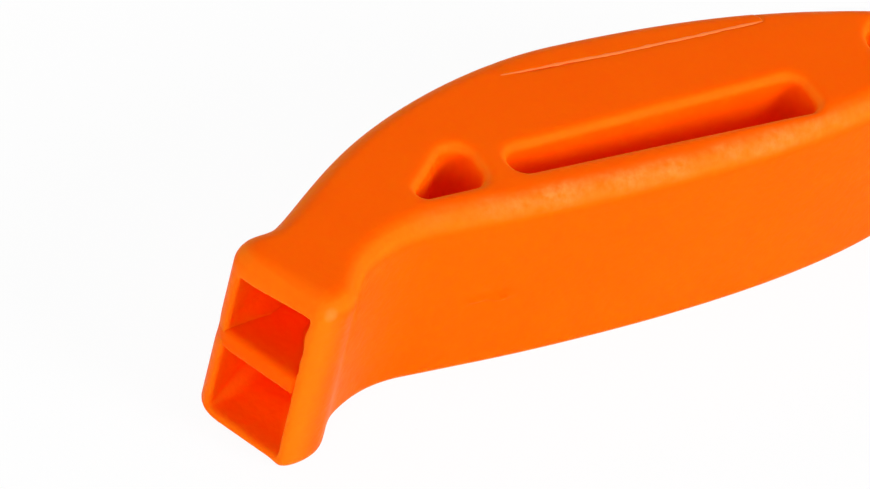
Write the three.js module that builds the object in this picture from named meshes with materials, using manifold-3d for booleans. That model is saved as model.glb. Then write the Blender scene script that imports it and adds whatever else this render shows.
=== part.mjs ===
// A two-tone whistle without a pea: one bent moulding with twin air ducts, a plate on its
// mid-plane that parts the two sides, and a welded lid over the two sound chambers.
// Millimetres. The whistle lies on its flat side: +X to the tail, +Y to the lid, +Z up.
import * as THREE from "three";
import { mergeVertices } from "three/addons/utils/BufferGeometryUtils.js";
import Module from "manifold-3d";

const wasm = await Module();
wasm.setup();

// Whole form
const thickness = 15.6;
const edgeRound = 1.25;
const bodyDepth = 15.85;
const tailReach = 42;
const tailRadius = 4.2;
const tailTaper = THREE.MathUtils.degToRad(20);
const humpReach = 15.75;
const humpBend = 6.8;
const bellyReach = 10.75;
const heelReach = -2.55;
const heelLift = 0.43;

// Snout: its axis meets the mid-line of the body at the origin
const snoutAngle = THREE.MathUtils.degToRad(30);
const snoutLength = 19.6;
const mouthSkew = THREE.MathUtils.degToRad(8);
const noseDepth = 5.4;
const ridgeDepth = 9.52;
const ridgeSetback = 2.6;
const neckDepth = 7.54;
const neckSetbackFar = 5.8;
const neckSetbackNear = 7.2;
const shoulderSetback = 16;
const shoulderRise = 4.39;

// Air ways
const mouthDepth = 6.12;
const ductDraft = 0.45;
const sideWall = 1.5;
const roofWall = 1.2;
const windwayGap = 1.15;
const windwayLand = 2;
const windwayAngle = THREE.MathUtils.degToRad(18);
const windowStart = 5.75;
const windowLength = 3.85;
const chamberReachRight = 30.8;
const chamberReachLeft = 27.3;

// Mid plate
const septumWall = 1.6;
const septumGroove = 0.5;
const septumFrontLap = 4;

// Lid
const lidDepth = 3.05;
const lidHollow = 0.72;
const lidLap = 2;
const labiumEdge = 0.25;
const labiumAngle = THREE.MathUtils.degToRad(24);

// Through holes
const barDepth = 3.45;
const barTaper = 0.4;
const slotStart = 5.85;
const slotReach = 32;
const slotDepth = 2.4;
const slotFlare = 1;
const slotCorner = 1.1;
const slotFloor = 1.2;
const webWall = 1.65;
const bridgeWall = 2.45;
const triangleFoot = 3.2;
const triangleTipCorner = 0.6;
const triangleFootCorner = 1.5;
const triangleTopCorner = 1.35;
const holeRim = 0.9;
const eyeRadius = 2.4;

// Clearance between pieces, and how far a hole's cutter runs past the faces
const fit = 0.1;
const overCut = 0.02;

// Fineness of the facets
const curveFacets = 9;
const roundFacets = 4;
const rimFacets = 3;

const bodyHalf = bodyDepth / 2;
const seamLevel = bodyHalf - lidDepth;
const lidRoof = seamLevel + lidHollow;
const labiumStart = windowStart + windowLength;
const lidEnd = Math.max(chamberReachRight, chamberReachLeft) + lidLap;
const clear = thickness + bodyDepth;

// Plan point from a distance back from the mouth and a height off the snout's axis.
const axisDirection = new THREE.Vector2(Math.cos(snoutAngle), Math.sin(snoutAngle));
function onSnout(setback, height) {
  const along = setback - snoutLength;
  return new THREE.Vector2(
    axisDirection.x * along - axisDirection.y * height,
    axisDirection.y * along + axisDirection.x * height,
  );
}

// Plan point on the mouth's end face, which leans a little towards the near side.
function onMouth(height) {
  return onSnout(height * Math.tan(mouthSkew), height);
}

function at(x, y) {
  return new THREE.Vector2(x, y);
}

// Point a given way from a start, in a given direction.
function ahead(point, angle, distance) {
  return at(point.x + distance * Math.cos(angle), point.y + distance * Math.sin(angle));
}

// Outline in plan, counter-clockwise from the mouth along the near side, round the tail
// and back over the hump. Each stretch is one cubic curve.
const tailCentre = at(tailReach, 0);
const tailNear = ahead(tailCentre, tailTaper - Math.PI / 2, tailRadius);
const tailFar = ahead(tailCentre, Math.PI / 2 - tailTaper, tailRadius);
const heel = at(heelReach, heelLift - bodyHalf);
const belly = at(bellyReach, -bodyHalf);
const humpTop = at(humpReach, bodyHalf);
const shoulder = onSnout(shoulderSetback, shoulderRise);
const neckNear = onSnout(neckSetbackNear, -neckDepth / 2);
const neckFar = onSnout(neckSetbackFar, neckDepth / 2);
const ridgeNear = onSnout(ridgeSetback, -ridgeDepth / 2);
const ridgeFar = onSnout(ridgeSetback, ridgeDepth / 2);
const noseNear = onMouth(-noseDepth / 2);
const noseFar = onMouth(noseDepth / 2);

const noseTurn = (ridgeDepth - noseDepth) * 0.34;
const ridgeTurn = ridgeSetback * 0.5;
const ridgeFall = (neckSetbackFar - ridgeSetback) * 0.42;
const heelRun = (heel.x - neckNear.x) * 0.38;
const tailRunNear = (tailReach - bellyReach) * 0.32;
const tailRunFar = (tailReach - humpReach) * 0.36;
const humpCurve = new THREE.CubicBezierCurve(
  humpTop,
  at(humpTop.x - humpBend, humpTop.y),
  ahead(shoulder, snoutAngle, humpBend),
  shoulder,
);

function tracedOutline() {
  const outline = new THREE.Shape();
  function curveTo(first, second, end) {
    outline.bezierCurveTo(first.x, first.y, second.x, second.y, end.x, end.y);
  }
  const along = snoutAngle;
  const back = snoutAngle + Math.PI;
  const up = snoutAngle - mouthSkew + Math.PI / 2;
  const down = up + Math.PI;
  outline.moveTo(noseNear.x, noseNear.y);
  curveTo(ahead(noseNear, down, noseTurn), ahead(ridgeNear, back, ridgeTurn), ridgeNear);
  curveTo(ahead(ridgeNear, along, ridgeFall), ahead(neckNear, back, ridgeFall * 1.5), neckNear);
  curveTo(ahead(neckNear, along, heelRun), at(heel.x - heelRun, heel.y), heel);
  curveTo(at(heel.x + heelRun * 2, heel.y - heelLift / 2), at(belly.x - heelRun * 2, belly.y), belly);
  curveTo(at(belly.x + tailRunNear, belly.y), ahead(tailNear, tailTaper + Math.PI, tailRunNear), tailNear);
  outline.absarc(tailCentre.x, tailCentre.y, tailRadius, tailTaper - Math.PI / 2, Math.PI / 2 - tailTaper);
  curveTo(ahead(tailFar, Math.PI - tailTaper, tailRunFar), at(humpTop.x + tailRunFar, humpTop.y), humpTop);
  curveTo(humpCurve.v1, humpCurve.v2, shoulder);
  curveTo(ahead(shoulder, back, humpBend * 0.6), ahead(neckFar, along, ridgeFall * 1.5), neckFar);
  curveTo(ahead(neckFar, back, ridgeFall), ahead(ridgeFar, along, ridgeFall), ridgeFar);
  curveTo(ahead(ridgeFar, back, ridgeTurn), ahead(noseFar, up, noseTurn), noseFar);
  outline.closePath();
  return outline;
}

// Height of the hump's outside above a given place along the body.
function humpHeight(x) {
  const points = humpCurve.getPoints(400);
  const reached = points.find((point) => point.x <= x);
  return reached.y;
}

// Closed polygon from corner points, each corner rounded by its own radius.
function roundedPolygon(corners, radii) {
  const shape = new THREE.Shape();
  corners.forEach((corner, index) => {
    const radius = radii[index];
    const before = corners.at(index - 1);
    const after = corners[(index + 1) % corners.length];
    const toBefore = before.clone().sub(corner).normalize();
    const toAfter = after.clone().sub(corner).normalize();
    const half = Math.acos(THREE.MathUtils.clamp(toBefore.dot(toAfter), -1, 1)) / 2;
    const inset = radius / Math.tan(half);
    const inward = toBefore.clone().add(toAfter).normalize();
    const centre = corner.clone().addScaledVector(inward, radius / Math.sin(half));
    const start = corner.clone().addScaledVector(toBefore, inset).sub(centre).angle();
    const end = corner.clone().addScaledVector(toAfter, inset).sub(centre).angle();
    shape.absarc(centre.x, centre.y, radius, start, end);
  });
  shape.closePath();
  return shape;
}

function polygon(points) {
  return new THREE.Shape(points);
}

// Solids: a geometry with its shared corners merged, ready to cut and join.
function solid(geometry) {
  geometry.deleteAttribute("normal");
  geometry.deleteAttribute("uv");
  const merged = mergeVertices(geometry, 1e-5);
  return new wasm.Manifold(new wasm.Mesh({
    numProp: 3,
    vertProperties: new Float32Array(merged.attributes.position.array),
    triVerts: new Uint32Array(merged.index.array),
  }));
}

function slab(shape, low, high) {
  const geometry = new THREE.ExtrudeGeometry(shape, {
    depth: high - low,
    bevelEnabled: false,
    curveSegments: curveFacets,
  });
  geometry.translate(0, 0, low);
  return solid(geometry);
}

// Largest rounding for which the tightest outward turn of a closed outline leaves room.
function roundingRoom(shape) {
  const points = shape.getPoints(curveFacets);
  if (points.at(-1).distanceTo(points[0]) < overCut) {
    points.pop();
  }
  const count = points.length;
  const sides = points.map((point, index) => points[(index + 1) % count].clone().sub(point));
  const turns = sides.map((side, index) => {
    const before = sides.at(index - 1);
    return Math.atan2(before.cross(side), before.dot(side));
  });
  const rooms = sides.map((side, index) => {
    const turn = Math.tan(turns[index] / 2) + Math.tan(turns[(index + 1) % count] / 2);
    return turn > 0 ? side.length() / turn : clear;
  });
  return Math.min(...rooms);
}

// Slab of the whole thickness, whose rim is rounded inwards, or flared for a hole's cutter.
function rimmedSlab(shape, rimRadius, facets, flared) {
  const past = flared ? rimRadius + overCut : rimRadius;
  const geometry = new THREE.ExtrudeGeometry(shape, {
    depth: thickness - 2 * rimRadius,
    bevelThickness: past,
    bevelSize: flared ? -past : past,
    bevelOffset: flared ? past : -past,
    bevelSegments: facets,
    curveSegments: curveFacets,
  });
  geometry.translate(0, 0, rimRadius);
  return solid(geometry);
}

// Heights of the two air ways and of the plate between them
const plateLow = (thickness - septumWall) / 2;
const plateHigh = (thickness + septumWall) / 2;
const leftWay = [sideWall, plateLow];
const rightWay = [plateHigh, thickness - sideWall];

// Duct: its floor runs straight from the mouth's near edge to the windway's land, its roof
// follows the snout and then bends under the hump.
const roofExit = at(windowStart, humpHeight(windowStart) - roofWall / Math.cos(windwayAngle));
const lip = at(windowStart, roofExit.y - windwayGap / Math.cos(windwayAngle));
const land = ahead(lip, windwayAngle + Math.PI, windwayLand);
const mouthFloor = onMouth(-mouthDepth / 2);
const mouthRoof = onMouth(mouthDepth / 2);
const floorAngle = Math.atan2(land.y - mouthFloor.y, land.x - mouthFloor.x);
const roofBend = onSnout(shoulderSetback, mouthDepth / 2 - ductDraft);
const roofAngle = Math.atan2(roofBend.y - mouthRoof.y, roofBend.x - mouthRoof.x);

// Slot between the bar and the chambers' floor
const slotNear = barDepth - bodyHalf;
const slotFar = slotNear + slotDepth;
const slotRounds = [slotCorner, slotCorner, slotCorner, slotCorner];
const slotCorners = [
  at(slotStart, slotNear),
  at(slotReach, slotNear - barTaper),
  at(slotReach, slotFar + slotFlare),
  at(slotStart, slotFar),
];

function chamberFloor(x) {
  const share = (x - slotStart) / (slotReach - slotStart);
  return slotFar + slotFlare * share + slotFloor;
}

// Triangular hole: its long side lies along the duct's floor.
const triangleRight = slotStart - bridgeWall;
const triangleNear = triangleFoot - bodyHalf;
const webDrop = webWall / Math.cos(floorAngle);
const triangleTop = mouthFloor.y + (triangleRight - mouthFloor.x) * Math.tan(floorAngle) - webDrop;
const triangleTip = triangleRight - (triangleTop - triangleNear) / Math.tan(floorAngle);
const triangleRounds = [triangleTipCorner, triangleFootCorner, triangleTopCorner];
const triangleCorners = [
  at(triangleTip, triangleNear),
  at(triangleRight, triangleNear),
  at(triangleRight, triangleTop),
];

// One air way in plan: duct, windway, window and chamber, open at the mouth and at the top.
function airWay(chamberReach) {
  const front = ahead(mouthFloor, floorAngle + Math.PI, sideWall);
  const frontRoof = ahead(mouthRoof, roofAngle + Math.PI, sideWall);
  const roofEase = ahead(roofExit, windwayAngle + Math.PI, windwayLand * 2);
  const bendEase = ahead(roofBend, roofAngle, windwayLand * 2);
  const way = new THREE.Shape();
  way.moveTo(front.x, front.y);
  way.lineTo(land.x, land.y);
  way.lineTo(lip.x, lip.y);
  way.lineTo(windowStart, chamberFloor(windowStart));
  way.lineTo(chamberReach, chamberFloor(chamberReach));
  way.lineTo(chamberReach, clear);
  way.lineTo(windowStart, clear);
  way.lineTo(roofExit.x, roofExit.y);
  way.bezierCurveTo(roofEase.x, roofEase.y, bendEase.x, bendEase.y, roofBend.x, roofBend.y);
  way.lineTo(frontRoof.x, frontRoof.y);
  way.closePath();
  return way;
}

// Mid plate in plan. It stands in a groove of the given depth, which starts behind the mouth,
// and it reaches through the far wall to the outside.
function platePlan(groove, endGap) {
  const floorStart = ahead(mouthFloor, floorAngle, septumFrontLap + endGap);
  const front = ahead(mouthFloor, floorAngle + Math.PI, sideWall);
  const chamberReach = Math.max(chamberReachRight, chamberReachLeft);
  const backX = windowStart - groove;
  const footY = land.y - groove / Math.cos(windwayAngle);
  const backY = footY + (backX - land.x) * Math.tan(windwayAngle);
  return polygon([
    ahead(front, floorAngle + Math.PI / 2, endGap),
    ahead(floorStart, floorAngle + Math.PI / 2, endGap),
    ahead(floorStart, floorAngle - Math.PI / 2, groove),
    at(land.x - (groove - groove / Math.cos(floorAngle)), footY),
    at(backX, backY),
    at(backX, chamberFloor(windowStart) - groove),
    at(chamberReach + groove, chamberFloor(chamberReach) - groove),
    at(chamberReach + groove, clear),
    at(front.x - clear, clear),
    at(front.x - clear, front.y),
  ]);
}

// Space taken by the lid, from its front edge back, above the seam.
function lidSpace(front, end, level) {
  return polygon([at(front, level), at(end, level), at(end, clear), at(front, clear)]);
}

const outline = tracedOutline();
const rimRound = Math.min(edgeRound, roundingRoom(outline) * 0.95);
const roundedBlank = rimmedSlab(outline, rimRound, roundFacets, false);

function whistleBody() {
  const eye = new THREE.Shape();
  eye.absarc(tailCentre.x, tailCentre.y, eyeRadius, 0, Math.PI * 2);
  const plateGroove = slab(platePlan(septumGroove, 0), plateLow - fit, plateHigh + fit);
  return roundedBlank
    .subtract(rimmedSlab(roundedPolygon(slotCorners, slotRounds), holeRim, rimFacets, true))
    .subtract(rimmedSlab(roundedPolygon(triangleCorners, triangleRounds), holeRim, rimFacets, true))
    .subtract(rimmedSlab(eye, holeRim, rimFacets, true))
    .subtract(slab(airWay(chamberReachLeft), ...leftWay))
    .subtract(slab(airWay(chamberReachRight), ...rightWay))
    .subtract(plateGroove)
    .subtract(slab(lidSpace(labiumStart, lidEnd, seamLevel), -clear, clear));
}

function septumPlate() {
  return roundedBlank
    .intersect(slab(platePlan(septumGroove - fit, fit), plateLow, plateHigh))
    .subtract(slab(lidSpace(labiumStart, lidEnd, seamLevel), -clear, clear));
}

function chamberCover() {
  const front = labiumStart + fit;
  const edgeTop = lidRoof + labiumEdge;
  const rampEnd = ahead(at(front, edgeTop), labiumAngle, clear);
  const ramp = polygon([at(front - fit, edgeTop), at(front, edgeTop), rampEnd, at(front - fit, rampEnd.y)]);
  function hollow(chamberReach) {
    return polygon([
      at(front - fit, seamLevel - fit),
      at(chamberReach, seamLevel - fit),
      at(chamberReach, lidRoof),
      at(front - fit, lidRoof),
    ]);
  }
  return roundedBlank
    .intersect(slab(lidSpace(front, lidEnd - fit, seamLevel), -clear, clear))
    .subtract(slab(hollow(chamberReachLeft), ...leftWay))
    .subtract(slab(hollow(chamberReachRight), ...rightWay))
    .subtract(slab(ramp, ...leftWay))
    .subtract(slab(ramp, ...rightWay));
}

// Named mesh of a finished solid, moved so that the origin is under the middle of the whistle.
const span = new THREE.Box2().setFromPoints(outline.getPoints(curveFacets));
const middle = span.getCenter(new THREE.Vector2());

function piece(name, shape, colour) {
  const cut = shape.getMesh();
  const geometry = new THREE.BufferGeometry();
  geometry.setAttribute("position", new THREE.BufferAttribute(new Float32Array(cut.vertProperties), 3));
  geometry.setIndex(new THREE.BufferAttribute(new Uint32Array(cut.triVerts), 1));
  geometry.computeVertexNormals();
  const plastic = new THREE.MeshStandardMaterial({ color: colour, roughness: 0.42, metalness: 0 });
  const mesh = new THREE.Mesh(geometry, plastic);
  mesh.name = name;
  mesh.position.set(-middle.x, -middle.y, 0);
  return mesh;
}

const whistle = new THREE.Group();
whistle.add(piece("whistle_body", whistleBody(), 0xfa5f00));
whistle.add(piece("septum_plate", septumPlate(), 0xf45a00));
whistle.add(piece("chamber_cover", chamberCover(), 0xfa6204));

export default whistle;
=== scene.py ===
import itertools
import math
import bpy
import numpy as np
from mathutils import Matrix, Vector


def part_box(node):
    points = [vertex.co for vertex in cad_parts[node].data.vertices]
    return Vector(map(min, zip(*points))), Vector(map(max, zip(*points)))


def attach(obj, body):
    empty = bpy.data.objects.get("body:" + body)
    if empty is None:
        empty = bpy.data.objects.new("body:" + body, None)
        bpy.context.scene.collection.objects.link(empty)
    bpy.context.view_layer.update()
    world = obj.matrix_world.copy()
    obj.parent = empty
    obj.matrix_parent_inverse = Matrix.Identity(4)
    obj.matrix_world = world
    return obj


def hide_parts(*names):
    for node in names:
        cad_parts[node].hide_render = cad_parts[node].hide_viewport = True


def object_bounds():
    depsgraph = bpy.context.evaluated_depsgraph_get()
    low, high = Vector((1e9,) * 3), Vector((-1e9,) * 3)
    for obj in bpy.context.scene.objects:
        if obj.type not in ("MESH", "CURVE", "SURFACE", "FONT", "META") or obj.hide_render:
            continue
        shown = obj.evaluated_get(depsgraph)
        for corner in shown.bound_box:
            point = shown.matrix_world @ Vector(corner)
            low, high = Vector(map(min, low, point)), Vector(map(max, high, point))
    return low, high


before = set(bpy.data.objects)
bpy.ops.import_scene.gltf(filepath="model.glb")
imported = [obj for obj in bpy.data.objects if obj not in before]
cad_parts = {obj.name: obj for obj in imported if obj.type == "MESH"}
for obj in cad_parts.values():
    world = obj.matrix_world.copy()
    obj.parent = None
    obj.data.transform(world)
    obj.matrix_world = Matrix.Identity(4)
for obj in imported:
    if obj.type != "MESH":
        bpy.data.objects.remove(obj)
cad_low, cad_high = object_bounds()


# Whistle body: one injection moulding in orange ABS. It has a bent snout with a bite ridge, two air ducts,
# two open chamber troughs, a slot and a triangle that save plastic, and a tail with an eye for a cord.
# Its two flat sides were the two halves of the mould, so it is the same thickness all along.
MILLIMETRE = 0.001
THICKNESS = 15.6
FAR_ROUND = 1.65
NEAR_ROUND = 2.1
UNDER_ROUND = 0.75
MOUTH_ROUND = 1.2
LIP_CORNER_ROUND = 0.95
SNOUT_ROUND = 1.65
BODY_HALF = 7.925
TAIL_REACH = 42.0
TAIL_RADIUS = 4.2
TAIL_TAPER = math.radians(20)
HUMP_REACH = 15.75
HUMP_BEND = 6.8
BELLY_REACH = 10.75
HEEL = (-2.55, 0.43 - BODY_HALF)

SNOUT_ANGLE = math.radians(30)
SNOUT_LENGTH = 19.6
MOUTH_SKEW = math.radians(8)
NOSE_HALF_FAR = 2.3
NOSE_HALF_NEAR = 3.1
RIDGE_HALF_FAR = 4.66
RIDGE_HALF_NEAR = 4.74
RIDGE_SETBACK = 2.6
NECK_HALF_FAR = 3.77
NECK_HALF_NEAR = 3.6
NECK_SETBACK_FAR = 5.8
NECK_SETBACK_NEAR = 7.2
SHOULDER_SETBACK = 16.0
SHOULDER_RISE = 4.39

# Points on a curve of the outline, on a round end, on a hole's corner, and on the hump to read its height
CURVE_STEPS = 26
ARC_STEPS = 30
CORNER_STEPS = 12
HUMP_STEPS = 400


def point(x, y):
    return np.array([x, y], float)


def ahead(start, angle, distance):
    return start + distance * point(math.cos(angle), math.sin(angle))


def on_snout(setback, height):
    """Plan point at a distance back from the mouth and a height off the snout's axis."""
    on_axis = ahead(point(0, 0), SNOUT_ANGLE, setback - SNOUT_LENGTH)
    return ahead(on_axis, SNOUT_ANGLE + math.pi / 2, height)


def on_mouth(height):
    return on_snout(height * math.tan(MOUTH_SKEW), height)


def cubic(start, first, second, end, steps=CURVE_STEPS):
    """Points of a cubic curve, without its last one."""
    t = np.arange(steps)[:, None] / steps
    return (1 - t) ** 3 * start + 3 * t * (1 - t) ** 2 * first + 3 * t * t * (1 - t) * second + t ** 3 * end


def arc(centre, radius, start, end, steps=ARC_STEPS):
    angle = np.linspace(start, end, steps)[:, None]
    return centre + radius * np.hstack([np.cos(angle), np.sin(angle)])


tail_centre = point(TAIL_REACH, 0)
tail_near = ahead(tail_centre, TAIL_TAPER - math.pi / 2, TAIL_RADIUS)
tail_far = ahead(tail_centre, math.pi / 2 - TAIL_TAPER, TAIL_RADIUS)
heel = point(*HEEL)
belly = point(BELLY_REACH, -BODY_HALF)
hump_top = point(HUMP_REACH, BODY_HALF)
shoulder = on_snout(SHOULDER_SETBACK, SHOULDER_RISE)
neck_near = on_snout(NECK_SETBACK_NEAR, -NECK_HALF_NEAR)
neck_far = on_snout(NECK_SETBACK_FAR, NECK_HALF_FAR)
ridge_near = on_snout(RIDGE_SETBACK, -RIDGE_HALF_NEAR)
ridge_far = on_snout(RIDGE_SETBACK, RIDGE_HALF_FAR)
nose_near = on_mouth(-NOSE_HALF_NEAR)
nose_far = on_mouth(NOSE_HALF_FAR)

# How long the outline's curves hold their direction at their ends: bends and the drop in millimetres, the
# rest as shares of the way between.
NOSE_BEND_NEAR = 0.9
NOSE_BEND_FAR = 1.5
RIDGE_TURN = 0.5
RIDGE_FALL = 0.42
NECK_EASE = 1.5
HEEL_RUN = 0.38
HEEL_DROP = 0.2
BELLY_EASE = 2
TAIL_RUN_NEAR = 0.32
TAIL_RUN_FAR = 0.36
SHOULDER_EASE = 0.6
tailward = SNOUT_ANGLE
mouthward = SNOUT_ANGLE + math.pi
across_mouth = SNOUT_ANGLE - MOUTH_SKEW + math.pi / 2
ridge_turn = RIDGE_SETBACK * RIDGE_TURN
ridge_fall = (NECK_SETBACK_FAR - RIDGE_SETBACK) * RIDGE_FALL
neck_rise = ridge_fall * NECK_EASE
heel_run = (heel[0] - neck_near[0]) * HEEL_RUN
belly_run = heel_run * BELLY_EASE
tail_run_near = (TAIL_REACH - BELLY_REACH) * TAIL_RUN_NEAR
tail_run_far = (TAIL_REACH - HUMP_REACH) * TAIL_RUN_FAR
shoulder_run = HUMP_BEND * SHOULDER_EASE
hump = (hump_top, hump_top - point(HUMP_BEND, 0), ahead(shoulder, tailward, HUMP_BEND), shoulder)
outline = np.vstack([
    cubic(nose_near, ahead(nose_near, across_mouth, -NOSE_BEND_NEAR),
          ahead(ridge_near, mouthward, ridge_turn), ridge_near),
    cubic(ridge_near, ahead(ridge_near, tailward, ridge_fall),
          ahead(neck_near, mouthward, neck_rise), neck_near),
    cubic(neck_near, ahead(neck_near, tailward, heel_run), heel - point(heel_run, 0), heel),
    cubic(heel, heel + point(belly_run, -HEEL_DROP), belly - point(belly_run, 0), belly),
    cubic(belly, belly + point(tail_run_near, 0),
          ahead(tail_near, TAIL_TAPER + math.pi, tail_run_near), tail_near),
    arc(tail_centre, TAIL_RADIUS, TAIL_TAPER - math.pi / 2, math.pi / 2 - TAIL_TAPER),
    cubic(tail_far, ahead(tail_far, math.pi - TAIL_TAPER, tail_run_far),
          hump_top + point(tail_run_far, 0), hump_top),
    cubic(*hump),
    cubic(shoulder, ahead(shoulder, mouthward, shoulder_run),
          ahead(neck_far, tailward, neck_rise), neck_far),
    cubic(neck_far, ahead(neck_far, mouthward, ridge_fall),
          ahead(ridge_far, tailward, ridge_fall), ridge_far),
    cubic(ridge_far, ahead(ridge_far, mouthward, ridge_turn),
          ahead(nose_far, across_mouth, NOSE_BEND_FAR), nose_far),
    nose_far[None],
])

# In plan the ducts' floor runs straight from the mouth to the windway, and their roof follows the snout.
# At the lips the lower duct's bottom and the upper duct's top drop a little, and behind them the ducts'
# corners are filleted, up to the snout's bend.
MOUTH_HALF = 3.06
MOUTH_HALF_FAR = 3.35
DUCT_DRAFT = 0.45
SIDE_WALL = 1.5
ROOF_WALL = 1.2
SEPTUM_WALL = 1.6
WINDWAY_GAP = 1.15
WINDWAY_LAND = 2.0
WINDWAY_ANGLE = math.radians(18)
WINDOW_START = 5.75
WINDOW_LENGTH = 3.85
CHAMBER_REACH_RIGHT = 30.8
CHAMBER_REACH_LEFT = 27.3
MIDDLE = THICKNESS / 2
PLATE_HALF = SEPTUM_WALL / 2
MOUTH_FLARE = 5.0
MOUTH_FULL = 1.0
BOTTOM_DROP = 0.75
BOTTOM_DROP_FAR = 0.4
TOP_DROP_FAR = 0.5
DUCT_CORNER = 0.3
DUCT_FILLET = 1.5
FILLET_END = (-4.0, -9.5)
LEFT_WAY = (SIDE_WALL, MIDDLE - PLATE_HALF)
RIGHT_WAY = (MIDDLE + PLATE_HALF, THICKNESS - SIDE_WALL)

BAR_DEPTH = 3.45
BAR_TAPER = 0.4
SLOT_START = 5.85
SLOT_REACH = 32.0
SLOT_DEPTH = 2.4
SLOT_FLARE = 1.0
SLOT_CORNER = 1.1
SLOT_FLOOR = 1.2
WEB_WALL = 1.65
BRIDGE_WALL = 2.45
TRIANGLE_FOOT = 3.2
TRIANGLE_TIP_CORNER = 0.6
TRIANGLE_FOOT_CORNER = 1.5
TRIANGLE_TOP_CORNER = 1.35
HOLE_RIM = 0.9
EYE_RADIUS = 2.4
BOTTOM_RIM = 0.5
LIP_RIM = 0.28
BAND_RIM = 0.06
WINDOW_RIM = 0.3


def hump_height(x):
    points = cubic(*hump, steps=HUMP_STEPS)
    return np.interp(-x, -points[:, 0], points[:, 1])


def rounded_polygon(corners, radii):
    """Closed outline with rounded corners, counter-clockwise."""
    pieces = []
    befores, afters = np.roll(corners, 1, 0), np.roll(corners, -1, 0)
    for before, corner, after, radius in zip(befores, corners, afters, radii):
        to_before = (before - corner) / np.linalg.norm(before - corner)
        to_after = (after - corner) / np.linalg.norm(after - corner)
        half = math.acos(to_before @ to_after) / 2
        inward = (to_before + to_after) / np.linalg.norm(to_before + to_after)
        centre = corner + inward * radius / math.sin(half)
        start = corner + to_before * radius / math.tan(half) - centre
        end = corner + to_after * radius / math.tan(half) - centre
        first = math.atan2(start[1], start[0])
        turn = (math.atan2(end[1], end[0]) - first) % (2 * math.pi)
        pieces.append(arc(centre, radius, first, first + turn, CORNER_STEPS))
    return np.vstack(pieces)


roof_exit = point(WINDOW_START, hump_height(WINDOW_START) - ROOF_WALL / math.cos(WINDWAY_ANGLE))
lip = roof_exit - point(0, WINDWAY_GAP / math.cos(WINDWAY_ANGLE))
land = ahead(lip, WINDWAY_ANGLE, -WINDWAY_LAND)
mouth_floor = on_mouth(-MOUTH_HALF)
mouth_roof = on_mouth(MOUTH_HALF_FAR)
floor_angle = math.atan2(land[1] - mouth_floor[1], land[0] - mouth_floor[0])
roof_bend = on_snout(SHOULDER_SETBACK, MOUTH_HALF - DUCT_DRAFT)
roof_angle = math.atan2(roof_bend[1] - mouth_roof[1], roof_bend[0] - mouth_roof[0])

slot_near = BAR_DEPTH - BODY_HALF
slot_far = slot_near + SLOT_DEPTH
slot = rounded_polygon(np.array([
    point(SLOT_START, slot_near),
    point(SLOT_REACH, slot_near - BAR_TAPER),
    point(SLOT_REACH, slot_far + SLOT_FLARE),
    point(SLOT_START, slot_far),
]), [SLOT_CORNER] * 4)

triangle_right = SLOT_START - BRIDGE_WALL
triangle_near = TRIANGLE_FOOT - BODY_HALF
web_drop = WEB_WALL / math.cos(floor_angle)
triangle_top = mouth_floor[1] + (triangle_right - mouth_floor[0]) * math.tan(floor_angle) - web_drop
triangle_tip = triangle_right - (triangle_top - triangle_near) / math.tan(floor_angle)
triangle = rounded_polygon(np.array([
    point(triangle_tip, triangle_near),
    point(triangle_right, triangle_near),
    point(triangle_right, triangle_top),
]), [TRIANGLE_TIP_CORNER, TRIANGLE_FOOT_CORNER, TRIANGLE_TOP_CORNER])


def chamber_floor(x):
    return slot_far + SLOT_FLARE * (x - SLOT_START) / (SLOT_REACH - SLOT_START) + SLOT_FLOOR


# How far the cuts run past the hump, and out of the mouth
WELL_CLEAR = 3 * BODY_HALF
MOUTH_CLEAR = 2 * SIDE_WALL


def air_way(chamber_reach):
    """Plan of one air way: duct, windway, window and chamber, open at the mouth and at the hump."""
    roof = cubic(
        roof_exit,
        ahead(roof_exit, WINDWAY_ANGLE, -2 * WINDWAY_LAND),
        ahead(roof_bend, roof_angle, 2 * WINDWAY_LAND),
        roof_bend,
    )
    return np.vstack([
        ahead(mouth_floor, floor_angle, -MOUTH_CLEAR),
        land,
        lip,
        point(WINDOW_START, chamber_floor(WINDOW_START)),
        point(chamber_reach, chamber_floor(chamber_reach)),
        point(chamber_reach, WELL_CLEAR),
        point(WINDOW_START, WELL_CLEAR),
        roof,
        roof_bend,
        ahead(mouth_roof, roof_angle, -MOUTH_CLEAR),
    ])


# Distances in plan are worked out once on a fine grid, and read smoothly between its points.
PLAN_STEP = 0.15
PLAN_MARGIN = 2.0
NEXT_TO_NOTHING = 1e-12
plan_low = outline.min(0) - PLAN_MARGIN
plan_x, plan_y = np.meshgrid(
    np.arange(plan_low[0], outline[:, 0].max() + PLAN_MARGIN, PLAN_STEP),
    np.arange(plan_low[1], outline[:, 1].max() + PLAN_MARGIN, PLAN_STEP),
    indexing="ij",
)


def plan_field(corners):
    """Distance from a closed outline all over the plan, negative inside it."""
    nearest = np.full(plan_x.shape, np.inf)
    inside = np.zeros(plan_x.shape, bool)
    for (ax, ay), (bx, by) in zip(corners, np.roll(corners, -1, 0)):
        run, rise = bx - ax, by - ay
        square = max(run * run + rise * rise, NEXT_TO_NOTHING)
        part = np.clip(((plan_x - ax) * run + (plan_y - ay) * rise) / square, 0, 1)
        nearest = np.minimum(nearest, (plan_x - ax - part * run) ** 2 + (plan_y - ay - part * rise) ** 2)
        if rise:
            spans = (ay > plan_y) != (by > plan_y)
            inside ^= spans & (plan_x < ax + (plan_y - ay) * run / rise)
    return np.where(inside, -1, 1) * np.sqrt(nearest)


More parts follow.
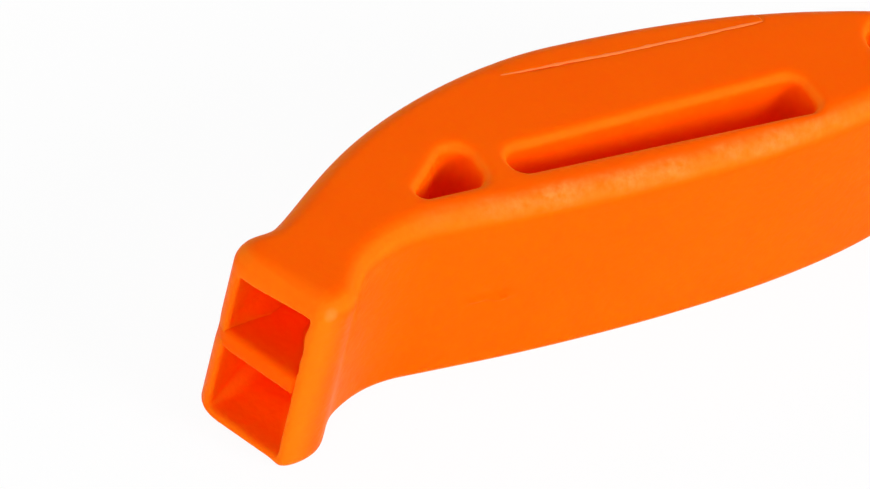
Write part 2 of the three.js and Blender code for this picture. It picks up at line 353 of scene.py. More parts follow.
def read_plan(field, x, y):
    """Field value at any plan points, by cubic blending of the grid points around them."""
    column = np.clip((x - plan_low[0]) / PLAN_STEP, 1, field.shape[0] - 3)
    row = np.clip((y - plan_low[1]) / PLAN_STEP, 1, field.shape[1] - 3)
    i, j = column.astype(int), row.astype(int)

    def weights(t):
        return (
            (-t + 2 * t * t - t ** 3) / 2,
            (2 - 5 * t * t + 3 * t ** 3) / 2,
            (t + 4 * t * t - 3 * t ** 3) / 2,
            (t ** 3 - t * t) / 2,
        )

    across, upward = weights(column - i), weights(row - j)
    return sum(
        across[a] * upward[b] * field[i + a - 1, j + b - 1]
        for a, b in itertools.product(range(4), repeat=2)
    )


def round_meet(first, second, radius):
    """Field of what lies inside both, with the edge between them rounded over."""
    beyond = np.hypot(np.maximum(first + radius, 0), np.maximum(second + radius, 0))
    return np.minimum(np.maximum(first, second), -radius) + beyond


def between(value, low, high):
    return np.abs(value - (low + high) / 2) - (high - low) / 2


outline_field = plan_field(outline)
slot_field = plan_field(slot)
triangle_field = plan_field(triangle)
way_fields = {
    LEFT_WAY: plan_field(air_way(CHAMBER_REACH_LEFT)),
    RIGHT_WAY: plan_field(air_way(CHAMBER_REACH_RIGHT)),
}

# The lid's place: a straight step in the hump, from behind the windows back. Lid and body run into each
# other over a short blend at its front, and the seam leans a little there.
LID_DEPTH = 3.05
LID_LAP = 2.0
LID_BLEND = 1.5
LID_DIP = 0.03
LID_DIP_REACH = 1.0
SEAM_LEAN = 0.03
SEAM_STRAIGHT = 21.0
seam_level = BODY_HALF - LID_DEPTH
labium_start = WINDOW_START + WINDOW_LENGTH
lid_end = max(CHAMBER_REACH_LEFT, CHAMBER_REACH_RIGHT) + LID_LAP

# The mould's gate left a shallow scar on the near flank, with two torn ridges in it: each mark's place
# along and up the flank, its length and width, and its depth.
GATE_MARKS = (
    ((3.5, 7.1), (1.5, 0.7), 0.14),
    ((4.45, 6.75), (0.75, 0.2), -0.52),
    ((2.5, 6.85), (0.9, 0.2), -0.26),
)
GATE_REACH = 1.5

# The mid plate's edges run on into the body's walls, out of sight: the body is cut free round the plate only
# in the ducts and chambers and a hair beyond them. Where the ducts' corners are filleted, a stub of web is
# left along the plate, a hair proud of it. In the far wall only the outer skin is grooved, from the neck on,
# and the plate's edge shows there; before the neck the wall is dished.
PLATE_CLEARANCE = 0.03
PLATE_FOOT = 0.5
PLATE_FRONT_LAP = 4.0
PLATE_DISH = 0.07
PLATE_BITE = 0.06
PLATE_STUB = 1.3
PLATE_STEP = 0.02
GROOVE_LEFT = 0.75
GROOVE_START = neck_far[0]

# Teeth have left the near lip of the upper duct a little wavy: height up the lip, spread and depth.
LIP_WAVES = ((12.4, 0.8, 0.17), (10.0, 0.5, 0.06))
LIP_REACH = 1.6

# Where the outer edges change their radius: across the body, and across the mouth at the near lip's corner
NEAR_EDGE = (-1.0, -LID_DEPTH - 1)
LIP_CORNER = (1 - MOUTH_HALF, -MOUTH_HALF - 0.5)


def plate_outline(depth):
    """Plan of the mid plate: its foot runs a given depth into the ducts' and chambers' floor, and its other
    side goes out through the hump."""
    front = ahead(mouth_floor, floor_angle, -MOUTH_CLEAR)
    step = ahead(mouth_floor, floor_angle, PLATE_FRONT_LAP)
    back_x = WINDOW_START - depth
    foot_y = land[1] - depth / math.cos(WINDWAY_ANGLE)
    chamber_reach = max(CHAMBER_REACH_LEFT, CHAMBER_REACH_RIGHT)
    return np.vstack([
        front,
        step,
        ahead(step, floor_angle - math.pi / 2, depth),
        point(land[0], foot_y),
        point(back_x, foot_y + (back_x - land[0]) * math.tan(WINDWAY_ANGLE)),
        point(back_x, chamber_floor(WINDOW_START) - depth),
        point(chamber_reach + depth, chamber_floor(chamber_reach) - depth),
        point(chamber_reach + depth, WELL_CLEAR),
        point(front[0] - WELL_CLEAR, WELL_CLEAR),
        point(front[0] - WELL_CLEAR, front[1]),
    ])


plate_plan = plan_field(plate_outline(PLATE_FOOT))


def hill(value, centre, spread):
    return np.exp(-((value - centre) / spread) ** 2)


def share(value, start, end):
    """How far a value has come from a start to an end, eased at both."""
    t = np.clip((value - start) / (end - start), 0, 1)
    return t * t * (3 - 2 * t)


def snout_place(x, y):
    """Distance back from the mouth, and height off the snout's axis."""
    setback = x * math.cos(SNOUT_ANGLE) + y * math.sin(SNOUT_ANGLE) + SNOUT_LENGTH
    return setback, y * math.cos(SNOUT_ANGLE) - x * math.sin(SNOUT_ANGLE)


def seam(x):
    """Height of the lid's seam, which leans a little towards the hump at its front end."""
    return seam_level + SEAM_LEAN * np.maximum(SEAM_STRAIGHT - x, 0)


def edge_round(x, y, z):
    """Radius of the outer edges: widest along the bar, least on the underside."""
    snout = share(x, 0, on_mouth(0)[0] + RIDGE_SETBACK)
    near = share(y, *NEAR_EDGE) * (1 - snout)
    height = snout_place(x, y)[1]
    mouth = MOUTH_ROUND + (LIP_CORNER_ROUND - MOUTH_ROUND) * share(height, *LIP_CORNER)
    above = FAR_ROUND + (NEAR_ROUND - FAR_ROUND) * near + (SNOUT_ROUND - FAR_ROUND) * snout
    below = UNDER_ROUND + (mouth - UNDER_ROUND) * snout
    return np.where(z > MIDDLE, above, below)


def blank_field(x, y, z):
    """The whole whistle without its holes, with all its outer edges rounded."""
    return round_meet(read_plan(outline_field, x, y), between(z, 0, THICKNESS), edge_round(x, y, z))


def body_field(x, y, z):
    body = blank_field(x, y, z)
    eye = np.hypot(x - TAIL_REACH, y) - EYE_RADIUS
    for hole in (read_plan(slot_field, x, y), read_plan(triangle_field, x, y), eye):
        body = round_meet(body, -hole, HOLE_RIM)

    setback, height = snout_place(x, y)
    near_lip = hill(setback, 0, LIP_REACH) * share(height, 0, -MOUTH_HALF)
    wave = near_lip * sum(depth * hill(z, level, spread) for level, spread, depth in LIP_WAVES)
    at_mouth = share(setback, MOUTH_FLARE, MOUTH_FULL)
    fillet = share(setback, 0, MOUTH_FLARE) * share(x, *FILLET_END)
    corner = DUCT_CORNER + (DUCT_FILLET - DUCT_CORNER) * fillet
    far_side = share(height, -MOUTH_HALF, MOUTH_HALF)
    bottom_drop = at_mouth * (BOTTOM_DROP + (BOTTOM_DROP_FAR - BOTTOM_DROP) * far_side)
    top_drop = TOP_DROP_FAR * at_mouth * far_side
    plate_step = fillet * PLATE_STEP
    rim = LIP_RIM + (BOTTOM_RIM - LIP_RIM) * share(z, 2 * SIDE_WALL, SIDE_WALL)
    rim = BAND_RIM + (rim - BAND_RIM) * share(np.abs(z - MIDDLE), PLATE_HALF, 2 * PLATE_HALF)
    for (low, high), field in way_fields.items():
        lower = low == SIDE_WALL
        bottom = low - bottom_drop if lower else low + plate_step
        top = high - plate_step if lower else high - top_drop
        way = round_meet(read_plan(field, x, y) + wave, between(z, bottom, top), corner)
        body = round_meet(body, -way, np.where(x < 0, rim, WINDOW_RIM))

    way_plan = read_plan(way_fields[RIGHT_WAY], x, y) + wave
    plate_gap = np.abs(z - MIDDLE) - PLATE_HALF - PLATE_CLEARANCE
    plate_space = np.maximum(read_plan(plate_plan, x, y), plate_gap)
    in_wall = np.maximum(GROOVE_START - x, GROOVE_LEFT - way_plan)
    reached = np.minimum(in_wall, way_plan - PLATE_BITE + PLATE_STUB * (corner - DUCT_CORNER))
    body = np.maximum(body, -np.maximum(plate_space, reached))
    dish = hill(z, MIDDLE, PLATE_HALF) * share(height, 0, MOUTH_HALF) * share(setback, NECK_SETBACK_FAR, 0)
    body = body + PLATE_DISH * dish
    lid_space = np.maximum(np.maximum(labium_start + LID_BLEND - x, x - lid_end), seam(x) - y)
    blend = share(x, labium_start, labium_start + LID_BLEND)
    dip = LID_DIP * blend * share(y, seam(x) - LID_DIP_REACH, seam(x))
    body = np.maximum(body + dip, -lid_space)
    flank = hill(y, -BODY_HALF, GATE_REACH)
    for (along, level), (length, width), depth in GATE_MARKS:
        body = body + depth * hill(x, along, length) * hill(z, level, width) * flank
    return body


# Margins of a mesh's grid in cells, how far apart a field's slope is read, the least square of a slope, and
# how far each round of settling draws a point towards its neighbours
GRID_BEFORE = 1.5
GRID_AFTER = 2.5
SLOPE_REACH = 0.02
LEAST_STEEPNESS = 0.25
SETTLING = (0, 0, 0.5, 0, 0.5, 0, 0)


def moulded_mesh(name, field, low, high, cell):
    """Mesh of the surface where a field is zero: one point in each cell that the surface passes through,
    drawn onto the surface, and one quad round each grid edge that crosses it."""
    axes = [np.arange(a - GRID_BEFORE * cell, b + GRID_AFTER * cell, cell) for a, b in zip(low, high)]
    value = field(*np.meshgrid(*axes, indexing="ij", sparse=True))
    value = np.broadcast_to(value, [len(a) for a in axes])
    cells = [n - 1 for n in value.shape]
    total = np.zeros([*cells, 3])
    hits = np.zeros(cells)
    edges = []
    for axis in range(3):
        others = [a for a in range(3) if a != axis]
        first = np.moveaxis(value, axis, 0)[:-1]
        second = np.moveaxis(value, axis, 0)[1:]
        crossing = (first < 0) != (second < 0)
        crossed_at = np.where(crossing, first / np.where(crossing, first - second, 1), 0)
        edges.append((axis, others, crossing, first < 0))
        for a, b in itertools.product((0, 1), repeat=2):
            window = np.s_[:, a:a + cells[others[0]], b:b + cells[others[1]]]
            met = np.moveaxis(crossing[window], 0, axis)
            hits += met
            total[..., axis] += np.moveaxis(crossed_at[window], 0, axis)
            total[..., others[0]] += a * met
            total[..., others[1]] += b * met
    mixed = hits > 0
    number = np.full(cells, -1)
    number[mixed] = np.arange(mixed.sum())
    starts = np.stack([a[0] + cell * i for a, i in zip(axes, np.nonzero(mixed))], 1)
    points = starts + cell * total[mixed] / hits[mixed][:, None]

    quads = []
    for axis, others, crossing, outward in edges:
        i, j, k = np.nonzero(crossing[:, 1:-1, 1:-1])
        ring = []
        for a, b in ((0, 0), (1, 0), (1, 1), (0, 1)):
            index = [None] * 3
            index[axis], index[others[0]], index[others[1]] = i, j + a, k + b
            ring.append(number[tuple(index)])
        ring = np.stack(ring, 1)
        turned = outward[i, j + 1, k + 1] ^ (axis == 1)
        ring[~turned] = ring[~turned][:, ::-1]
        quads.append(ring)
    quads = np.vstack(quads)

    sides = np.vstack([quads[:, [0, 1]], quads[:, [1, 2]], quads[:, [2, 3]], quads[:, [3, 0]]])
    degree = np.bincount(sides.ravel(), minlength=len(points))[:, None]
    for settle in SETTLING:
        if settle:
            near = np.zeros_like(points)
            np.add.at(near, sides[:, 0], points[sides[:, 1]])
            np.add.at(near, sides[:, 1], points[sides[:, 0]])
            points = points + settle * (near / degree - points)
        here = field(*points.T)
        steps = SLOPE_REACH * np.eye(3)
        slope = np.stack([(field(*(points + step).T) - here) / SLOPE_REACH for step in steps], 1)
        steep = np.maximum((slope ** 2).sum(1), LEAST_STEEPNESS)
        move = -slope * (here / steep)[:, None]
        points = points + np.clip(move, -cell / 2, cell / 2)

    mesh = bpy.data.meshes.new(name)
    mesh.from_pydata(((points + plan_to_frame) * MILLIMETRE).tolist(), [], quads.tolist())
    mesh.shade_smooth()
    piece = bpy.data.objects.new(name, mesh)
    bpy.context.scene.collection.objects.link(piece)
    return piece


body_low, body_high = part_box("whistle_body")
plan_middle = (outline.min(0) + outline.max(0)) / 2
frame_middle = (cad_low + cad_high) / 2 / MILLIMETRE
plan_to_frame = np.array([frame_middle.x - plan_middle[0], frame_middle.y - plan_middle[1], 0])


def on_plan(corner):
    return np.array(corner) / MILLIMETRE - plan_to_frame


BODY_CELL = 0.28
body = moulded_mesh("body_moulding", body_field, on_plan(body_low), on_plan(body_high), BODY_CELL)

# Places of painted paleness, in millimetres of the frame: the near edge's stretch with a mottled painted
# highlight, how far off the middle an outer edge lies, how far back lips are painted paler and polished, and
# the lip highlight spot.
NEAR_HIGHLIGHT_ACROSS = (-2.0, -4.5)
NEAR_HIGHLIGHT_ALONG = (-19.0, -9.0)
EDGE_LEVEL = (4.0, 6.0)
LIP_WEAR_AND_SHEEN = (1.8, 0.3)
LIP_POLISHED = (4.5, 2.5)
LIP_HIGHLIGHT_SPOT = (-28.45, -10.75, 14.85)
LIP_HIGHLIGHT_REACH = (0.8, 0.0)

# How far the surface looks up where an edge's paler paint (wear and painted sheen, or on the near edge a
# painted highlight) starts, is full, and ends
EDGE_TILT = (0.15, 0.5, 0.8, 0.985)
BROW_TILT = (0.3, 0.72, 0.92, 0.996)

# Noise in the finish: marks to a metre and how much finer detail they have; then the range that shows of it,
# and strength and depth of the mould's relief
FLOW_MARKS = (90, 3)
GLOSS_PATCHES = (420, 4)
RUB_GRAIN = (1500, 4)
RUB_PATCHES = (260, 1)
MOULD_WAVES = (1500, 3)
MOULD_ETCH = (5200, 2)
FLOW_RANGE = (0.3, 0.7)
GRAIN_RANGE = (0.25, 0.7)
PATCH_RANGE = (0.38, 0.6)
PATCH_LEAST = 0.35
WAVES_RELIEF = (0.5, 0.00012)
ETCH_RELIEF = (0.05, 0.0001)

# Light goes a little way into the plastic, red the furthest, and the gloss is tinged by the dye.
LIGHT_DEPTH = 0.0007
LIGHT_REACH = (1.0, 0.12, 0.03)
GLOSS_TINT = (1.0, 0.75, 0.2, 1)
snout_axis = (math.cos(SNOUT_ANGLE), math.sin(SNOUT_ANGLE), 0)
mouth_place = plan_to_frame @ snout_axis - SNOUT_LENGTH


def in_metres(sizes):
    return [size * MILLIMETRE for size in sizes]


def moulded_plastic(name, colour, shade, wear_and_sheen_colour, rub_and_highlight_colour, dullness=(0.36, 0.5), polish=-0.06, shine=0.02,
                    milky=0.6):
    """Dyed plastic from a fine-etched mould: faint flow marks, uneven gloss, edges and lips painted paler as
    wear and painted sheen, lips polished by the mouth, a near edge painted with a mottled highlight in
    patches, and a painted highlight spot on the upper lip's corner. A round edge is where the surface looks
    neither up nor to the side."""
    material = bpy.data.materials.new(name)
    material.use_nodes = True
    nodes, links = material.node_tree.nodes, material.node_tree.links
    plastic = nodes["Principled BSDF"]
    plastic.inputs["Specular IOR Level"].default_value = shine
    plastic.inputs["Specular Tint"].default_value = GLOSS_TINT
    plastic.inputs["Subsurface Weight"].default_value = milky
    plastic.inputs["Subsurface Radius"].default_value = LIGHT_REACH
    plastic.inputs["Subsurface Scale"].default_value = LIGHT_DEPTH
    place = nodes.new("ShaderNodeTexCoord")
    surface = nodes.new("ShaderNodeNewGeometry")

    def speckle(scale, detail):
        noise = nodes.new("ShaderNodeTexNoise")
        noise.inputs["Scale"].default_value = scale
        noise.inputs["Detail"].default_value = detail
        links.new(place.outputs["Object"], noise.inputs["Vector"])
        return noise.outputs["Fac"]

    def ramp(value, *stops):
        node = nodes.new("ShaderNodeValToRGB")
        marks = node.color_ramp.elements
        while len(marks) < len(stops):
            marks.new(1.0)
        for mark, (position, tone) in zip(marks, stops):
            mark.position = position
            mark.color = tone
        links.new(value, node.inputs["Fac"])
        return node.outputs["Color"]

    def combined(operation, first, second=None, third=None):
        node = nodes.new("ShaderNodeMath")
        node.operation = operation
        for socket, value in zip(node.inputs, (first, second, third)):
            if isinstance(value, float):
                socket.default_value = value
            elif value:
                links.new(value, socket)
        return node.outputs["Value"]

    def within(value, start, end, low=0.0, high=1.0):
        reach = nodes.new("ShaderNodeMapRange")
        reach.inputs["From Min"].default_value = start
        reach.inputs["From Max"].default_value = end
        reach.inputs["To Min"].default_value = low
        reach.inputs["To Max"].default_value = high
        links.new(value, reach.inputs["Value"])
        return reach.outputs["Result"]

    def parts(vector):
        node = nodes.new("ShaderNodeSeparateXYZ")
        links.new(vector, node.inputs["Vector"])
        return node.outputs

    def painted(under, over, amount):
        node = nodes.new("ShaderNodeMix")
        node.data_type = "RGBA"
        links.new(amount, node.inputs["Factor"])
        links.new(under, node.inputs["A"])
        node.inputs["B"].default_value = (*over, 1)
        return node.outputs["Result"]

    def relief(height, strength, depth, under=None):
        bump = nodes.new("ShaderNodeBump")
        bump.inputs["Strength"].default_value = strength
        bump.inputs["Distance"].default_value = depth
        links.new(height, bump.inputs["Height"])
        if under:
            links.new(under, bump.inputs["Normal"])
        return bump.outputs["Normal"]

    def measured(operation, vector):
        node = nodes.new("ShaderNodeVectorMath")
        node.operation = operation
        node.inputs[1].default_value = vector
        links.new(place.outputs["Object"], node.inputs[0])
        return node.outputs["Value"]

    spot = parts(place.outputs["Object"])
    back_from_mouth = combined("ADD", measured("DOT_PRODUCT", snout_axis), -mouth_place * MILLIMETRE)
    off_middle = combined("ABSOLUTE", combined("SUBTRACT", spot["Z"], MIDDLE * MILLIMETRE))
    tilt = combined("ABSOLUTE", parts(surface.outputs["Normal"])["Z"])

    dark, faint, light = ((tone, tone, tone, 1) for tone in (0, PATCH_LEAST, 1))
    over_edge = (dark, light, light, dark)
    # Rounded edges and lips are painted paler: partly wear, partly a painted sheen where they catch the
    # light.
    outer = within(off_middle, *in_metres(EDGE_LEVEL))
    edge = combined("MULTIPLY", outer, ramp(tilt, *zip(EDGE_TILT, over_edge)))
    brow = combined("MULTIPLY", outer, ramp(tilt, *zip(BROW_TILT, over_edge)))
    lips = within(back_from_mouth, *in_metres(LIP_WEAR_AND_SHEEN))
    # The near edge gets a painted highlight in mottled patches, and the upper lip's corner a painted
    # highlight spot.
    near_highlight_along = within(spot["X"], *in_metres(NEAR_HIGHLIGHT_ALONG))
    near_highlight_across = within(spot["Y"], *in_metres(NEAR_HIGHLIGHT_ACROSS))
    fine = ramp(speckle(*RUB_GRAIN), *zip(GRAIN_RANGE, (dark, light)))
    patches = combined("MULTIPLY", fine, ramp(speckle(*RUB_PATCHES), *zip(PATCH_RANGE, (faint, light))))
    near_edge_highlight = combined("MULTIPLY", combined("MULTIPLY", near_highlight_along, near_highlight_across), brow)
    lip_corner_highlight = within(measured("DISTANCE", in_metres(LIP_HIGHLIGHT_SPOT)), *in_metres(LIP_HIGHLIGHT_REACH))
    rub_and_highlight_mask = combined("MAXIMUM", combined("MULTIPLY", near_edge_highlight, patches), lip_corner_highlight)
    flow = ramp(speckle(*FLOW_MARKS), *zip(FLOW_RANGE, ((*shade, 1), (*colour, 1))))
    pale = painted(flow, wear_and_sheen_colour, combined("MAXIMUM", edge, lips))
    links.new(painted(pale, rub_and_highlight_colour, rub_and_highlight_mask), plastic.inputs["Base Color"])

    gloss = within(speckle(*GLOSS_PATCHES), 0, 1, *dullness)
    polished = within(back_from_mouth, *in_metres(LIP_POLISHED))
    links.new(combined("MULTIPLY_ADD", polished, polish, gloss), plastic.inputs["Roughness"])
    unevenness = relief(speckle(*MOULD_WAVES), *WAVES_RELIEF)
    links.new(relief(speckle(*MOULD_ETCH), *ETCH_RELIEF, unevenness), plastic.inputs["Normal"])
    return material


ORANGE = (1.0, 0.113, 0.0)
ORANGE_SHADE = (0.98, 0.104, 0.0)
# Paler orange painted on rounded edges and lips: wear, and a painted sheen.
ORANGE_WEAR_AND_SHEEN = (1.0, 0.16, 0.003)
# Paler still: painted highlight for the near edge and the lip's corner, mottled on the edge like rubbing.
ORANGE_RUB_AND_HIGHLIGHT = (1.0, 0.26, 0.05)
body.data.materials.append(moulded_plastic("orange_body", ORANGE, ORANGE_SHADE, ORANGE_WEAR_AND_SHEEN, ORANGE_RUB_AND_HIGHLIGHT))
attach(body, "root")
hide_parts("whistle_body")


# Septum plate: a plate of the same orange plastic on the mid-plane, let in from the hump's side and welded
# there. It parts the two ducts and the two chambers, and its end shows as the band across the mouth.
PLATE_SETBACK = 0.05
PLATE_RIM = 0.35
PLATE_UNDER_RIM = 0.22
PLATE_LAP = 0.05
PLATE_CELL = 0.3


def plate_field(x, y, z):
    flat = read_plan(plate_plan, x, y) - PLATE_LAP
    lid_space = np.maximum(np.maximum(labium_start - x, x - lid_end), seam(x) - y)
    inside = np.maximum(blank_field(x, y, z) + PLATE_SETBACK, flat)
    rim = np.where(z > MIDDLE, PLATE_RIM, PLATE_UNDER_RIM)
    plate = round_meet(inside, between(z, MIDDLE - PLATE_HALF, MIDDLE + PLATE_HALF), rim)
    return np.maximum(plate, -lid_space)


plate_low, plate_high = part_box("septum_plate")
plate = moulded_mesh("mid_plate", plate_field, on_plan(plate_low), on_plan(plate_high), PLATE_CELL)
PLATE_ORANGE = (0.99, 0.1, 0.0)
PLATE_SHADE = (0.97, 0.092, 0.0)
plate.data.materials.append(
    moulded_plastic("orange_plate", PLATE_ORANGE, PLATE_SHADE, PLATE_ORANGE, PLATE_ORANGE)
)
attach(plate, "root")
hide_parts("septum_plate")


# Chamber cover: a separately moulded lid in the same plastic, welded over the two chambers along a nearly
# straight seam. Its two bevelled front edges are the sound edges that split the air from the windways.
LID_HOLLOW = 0.72
LABIUM_EDGE = 0.25
LABIUM_ANGLE = math.radians(24)
LABIUM_ROUND = 0.2
LID_RIM = 0.12
LID_FRONT_GAP = 0.05
LID_END_GAP = 0.02
LID_CELL = 0.22
lid_roof = seam_level + LID_HOLLOW


def lid_field(x, y, z):
    before, behind = labium_start + LID_FRONT_GAP - x, x - lid_end + LID_END_GAP
    seat = np.maximum(np.maximum(before, behind), seam(x) - y)
    dip = LID_DIP * (1 - share(x, labium_start, labium_start + LID_BLEND))
    lid = round_meet(blank_field(x, y, z) + dip, seat, LID_RIM)
    rise = (y - lid_roof - LABIUM_EDGE) * math.cos(LABIUM_ANGLE)
    slope = rise - (x - labium_start) * math.sin(LABIUM_ANGLE)
    for (low, high), reach in ((LEFT_WAY, CHAMBER_REACH_LEFT), (RIGHT_WAY, CHAMBER_REACH_RIGHT)):
        hollow = np.maximum(np.maximum(y - lid_roof, x - reach), between(z, low, high))
        bevel = np.maximum(-slope, between(z, low, high))
        lid = np.maximum(lid, -hollow)
        lid = round_meet(lid, -bevel, LABIUM_ROUND)
    return lid


lid_low, lid_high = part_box("chamber_cover")
lid = moulded_mesh("chamber_lid", lid_field, on_plan(lid_low), on_plan(lid_high), LID_CELL)
LID_ORANGE = (1.0, 0.115, 0.0)
LID_SHADE = (0.98, 0.106, 0.0)
# The lid's edges get the same painted sheen and painted highlight colours as the body.
lid.data.materials.append(moulded_plastic("orange_lid", LID_ORANGE, LID_SHADE, ORANGE_WEAR_AND_SHEEN, ORANGE_RUB_AND_HIGHLIGHT))
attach(lid, "root")
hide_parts("chamber_cover")


# Weld bead: a little plastic pressed out of the weld between lid and body, left as a fine uneven ridge along
# the seam on the upper side, thin where the lid starts and thicker towards the tail.
BEAD_START = 9.3
BEAD_WIDTH = 0.13
BEAD_RISE = 0.035
BEAD_LEAN = 0.02
BEAD_STEP = 0.12
BEAD_SIDES = 10
BEAD_SINK = 0.01
BEAD_RUN_IN = (-0.3, 1.0)
BEAD_RUN_OUT = 1.5
BEAD_THIN = 0.35
BEAD_THICKENS = 8.0
BEAD_SIZE = 0.8

# Size, pace and start of the waves along the bead, and place, spread and size of its blobs
BEAD_SWELLS = ((0.12, 2.3, 0.0), (0.1, 5.1, 1.0))
BEAD_SWAYS = ((0.015, 0.9, 0.0), (0.01, 3.7, 0.0))
BEAD_BLOBS = ((14.6, 0.3, 0.5), (18.9, 0.2, 0.6), (22.5, 0.2, 0.5), (27.4, 0.3, 0.5))


def ripple(stations, waves):
    return sum(size * np.sin(stations * pace + start) for size, pace, start in waves)


def weld_bead():
    """Ridge with a rounded back, half sunk in the seam, as one closed mesh."""
    stations = np.arange(BEAD_START, lid_end, BEAD_STEP)
    run_in = share(stations, *(BEAD_START + reach for reach in BEAD_RUN_IN))
    run_out = share(stations, lid_end, lid_end - BEAD_RUN_OUT)
    thickness = BEAD_THIN + (1 - BEAD_THIN) * share(stations, BEAD_START, BEAD_START + BEAD_THICKENS)
    swell = (BEAD_SIZE + ripple(stations, BEAD_SWELLS)) * thickness * run_in * run_out
    swell = swell + sum(size * hill(stations, place, spread) for place, spread, size in BEAD_BLOBS)
    sway = ripple(stations, BEAD_SWAYS)
    turn = np.arange(BEAD_SIDES) / BEAD_SIDES * 2 * math.pi
    across = BEAD_WIDTH * np.cos(turn) + BEAD_LEAN * np.sin(turn)
    rings = np.stack([
        np.broadcast_to(stations[:, None], (len(stations), BEAD_SIDES)),
        (seam(stations) + sway)[:, None] + np.sqrt(swell)[:, None] * across,
        THICKNESS - BEAD_SINK + BEAD_RISE * swell[:, None] * np.sin(turn),
    ], 2)
    corners = (rings.reshape(-1, 3) + plan_to_frame) * MILLIMETRE
    last = len(stations) - 1
    faces = [list(range(BEAD_SIDES))[::-1], [last * BEAD_SIDES + side for side in range(BEAD_SIDES)]]
    for ring, side in itertools.product(range(last), range(BEAD_SIDES)):
        a = ring * BEAD_SIDES + side
        b = ring * BEAD_SIDES + (side + 1) % BEAD_SIDES
        faces.append([a, b, b + BEAD_SIDES, a + BEAD_SIDES])
    mesh = bpy.data.meshes.new("weld_bead")
    mesh.from_pydata(corners.tolist(), [], faces)
    mesh.shade_smooth()
    piece = bpy.data.objects.new("weld_bead", mesh)
    bpy.context.scene.collection.objects.link(piece)
    return piece


bead = weld_bead()
# The bead is painted paler than the body: a painted glint along its ridge.
WELD_GLINT_ORANGE = (1.0, 0.24, 0.06)
WELD_GLINT_SHADE = (1.0, 0.2, 0.04)
bead.data.materials.append(
    moulded_plastic("orange_weld", WELD_GLINT_ORANGE, WELD_GLINT_SHADE, WELD_GLINT_ORANGE, WELD_GLINT_ORANGE,
                    dullness=(0.25, 0.4), shine=0.12, milky=0.0)
)
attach(bead, "root")


# Studio: a plain white table under four soft lamps, the key from the front right, a weaker one from the
# mouth's side and faint ones from behind and above. The camera stands where the photograph was taken from,
# high over the mouth and leaning a little.
LAMP_DISTANCE = 0.7
LAMPS = (
    ("key_light", (0.45, -0.75, 0.48), 0.3, 0.78),
    ("mouth_light", (-0.75, -0.6, 0.22), 0.4, 0.55),
    ("back_light", (-0.3, 0.85, 0.42), 0.4, 0.16),
    ("top_light", (0, 0, 1), 0.4, 0.12),
)


def soft_box(name, direction, width, level):
    """Round lamp that lights a face turned towards it to a given level."""
    data = bpy.data.lights.new(name, "AREA")
    data.shape = "DISK"
    data.size = width
    data.energy = level * (math.pi * LAMP_DISTANCE) ** 2
    light = bpy.data.objects.new(name, data)
    bpy.context.scene.collection.objects.link(light)
    towards = Vector(direction).normalized()
    light.location = LAMP_DISTANCE * towards
    light.rotation_euler = (-towards).to_track_quat("-Z", "Y").to_euler()


for lamp in LAMPS:
    soft_box(*lamp)

# Light has to bounce many times in the deep ducts before it comes out as red as it does.
DUCT_BOUNCES = 32
MOST_BOUNCES = 36
bpy.context.scene.cycles.diffuse_bounces = DUCT_BOUNCES
bpy.context.scene.cycles.max_bounces = MOST_BOUNCES


def background_share(tree, most):
    """Share of plain white that rays from the camera and mirrored rays see in place of the lit room."""
    ray = tree.nodes.new("ShaderNodeLightPath")
    total = ray.outputs["Is Camera Ray"]
    for kind in ("Is Glossy Ray", "Is Transmission Ray"):
        either = tree.nodes.new("ShaderNodeMath")
        either.operation = "MAXIMUM"
        tree.links.new(total, either.inputs[0])
        tree.links.new(ray.outputs[kind], either.inputs[1])
        total = either.outputs["Value"]
    part = tree.nodes.new("ShaderNodeMath")
    part.operation = "MULTIPLY"
    part.inputs[1].default_value = most
    tree.links.new(total, part.inputs[0])
    return part.outputs["Value"]


ROOM_LIT = 0.34
ROOM_SEEN = 1.0
world = bpy.data.worlds.new("white_room")
bpy.context.scene.world = world
world.use_nodes = True
room = world.node_tree
brightness = room.nodes.new("ShaderNodeMapRange")
brightness.inputs["To Min"].default_value = ROOM_LIT
brightness.inputs["To Max"].default_value = ROOM_SEEN
room.links.new(background_share(room, 1.0), brightness.inputs["Value"])
room.links.new(brightness.outputs["Result"], room.nodes["Background"].inputs["Strength"])
room.nodes["Background"].inputs["Color"].default_value = (1, 1, 1, 1)

TABLE_WHITE = (0.85, 0.85, 0.85, 1)
TABLE_DULLNESS = 0.9
TABLE_GLOW = 0.95
TABLE_CORNERS = ((-1.5, -1.5), (1.5, -1.5), (1.5, 1.5), (-1.5, 1.5))
TABLE_DROP = 0.00005


def matt_white(name):
    material = bpy.data.materials.new(name)
    material.use_nodes = True
    matt = material.node_tree.nodes["Principled BSDF"]
    matt.inputs["Base Color"].default_value = TABLE_WHITE
    matt.inputs["Roughness"].default_value = TABLE_DULLNESS
    return material


def flat_sheet(name, corners, level, material):
    mesh = bpy.data.meshes.new(name)
    mesh.from_pydata([(x, y, level) for x, y in corners], [], [range(len(corners))])
    sheet = bpy.data.objects.new(name, mesh)
    bpy.context.scene.collection.objects.link(sheet)
    sheet.data.materials.append(material)
    return sheet


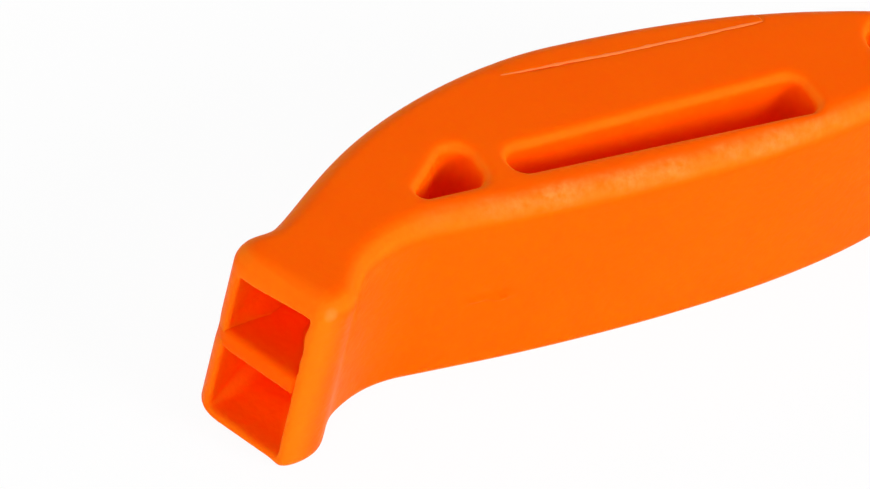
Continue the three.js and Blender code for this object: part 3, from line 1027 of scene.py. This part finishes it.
white = matt_white("white_table")
tree = white.node_tree
glow = tree.nodes.new("ShaderNodeEmission")
mix = tree.nodes.new("ShaderNodeMixShader")
tree.links.new(background_share(tree, TABLE_GLOW), mix.inputs["Fac"])
tree.links.new(tree.nodes["Principled BSDF"].outputs["BSDF"], mix.inputs[1])
tree.links.new(glow.outputs["Emission"], mix.inputs[2])
tree.links.new(mix.outputs["Shader"], tree.nodes["Material Output"].inputs["Surface"])
floor = flat_sheet("table_top", TABLE_CORNERS, cad_low.z - TABLE_DROP, white)

# Under the whistle's holes the table only has the light that falls through them. The corners are in plan.
UNDER_HOLES = (
    (-9, -3), (-4, -6.3), (12, -6.8), (32, -5.6), (43, -2.8), (43, 2.8), (32, 5.6), (16, 6.8), (2, 5),
)
shaded = (np.array(UNDER_HOLES) + plan_to_frame[:2]) * MILLIMETRE
under_holes = flat_sheet(
    "table_under_holes", shaded, cad_low.z - TABLE_DROP / 2, matt_white("plain_white_table")
)

CAMERA_AZIMUTH = math.radians(-39.6)
CAMERA_ELEVATION = math.radians(39.9)
CAMERA_ROLL = math.radians(14.9)
CAMERA_DISTANCE = 0.5
MILLIMETRES_PER_PIXEL = 0.072
PICTURE_WIDTH = 870
CAMERA_SENSOR = 36
LOOKED_AT = Vector((-0.01222, 0.00034, 0.0077))

backward = Vector((
    math.sin(CAMERA_AZIMUTH) * math.cos(CAMERA_ELEVATION),
    -math.cos(CAMERA_AZIMUTH) * math.cos(CAMERA_ELEVATION),
    math.sin(CAMERA_ELEVATION),
))
rightward = Vector((math.cos(CAMERA_AZIMUTH), math.sin(CAMERA_AZIMUTH), 0))
upward = backward.cross(rightward)
turned_right = rightward * math.cos(CAMERA_ROLL) + upward * math.sin(CAMERA_ROLL)
turned_up = backward.cross(turned_right)
camera = bpy.data.objects.new("camera", bpy.data.cameras.new("camera"))
bpy.context.scene.collection.objects.link(camera)
camera.matrix_world = Matrix.Translation(LOOKED_AT + CAMERA_DISTANCE * backward) @ Matrix(
    (turned_right, turned_up, backward)
).transposed().to_4x4()
view_width = PICTURE_WIDTH * MILLIMETRES_PER_PIXEL * MILLIMETRE
camera.data.sensor_width = CAMERA_SENSOR
camera.data.lens = CAMERA_SENSOR * CAMERA_DISTANCE / view_width
bpy.context.scene.camera = camera
bpy.context.scene.view_settings.view_transform = "Standard"
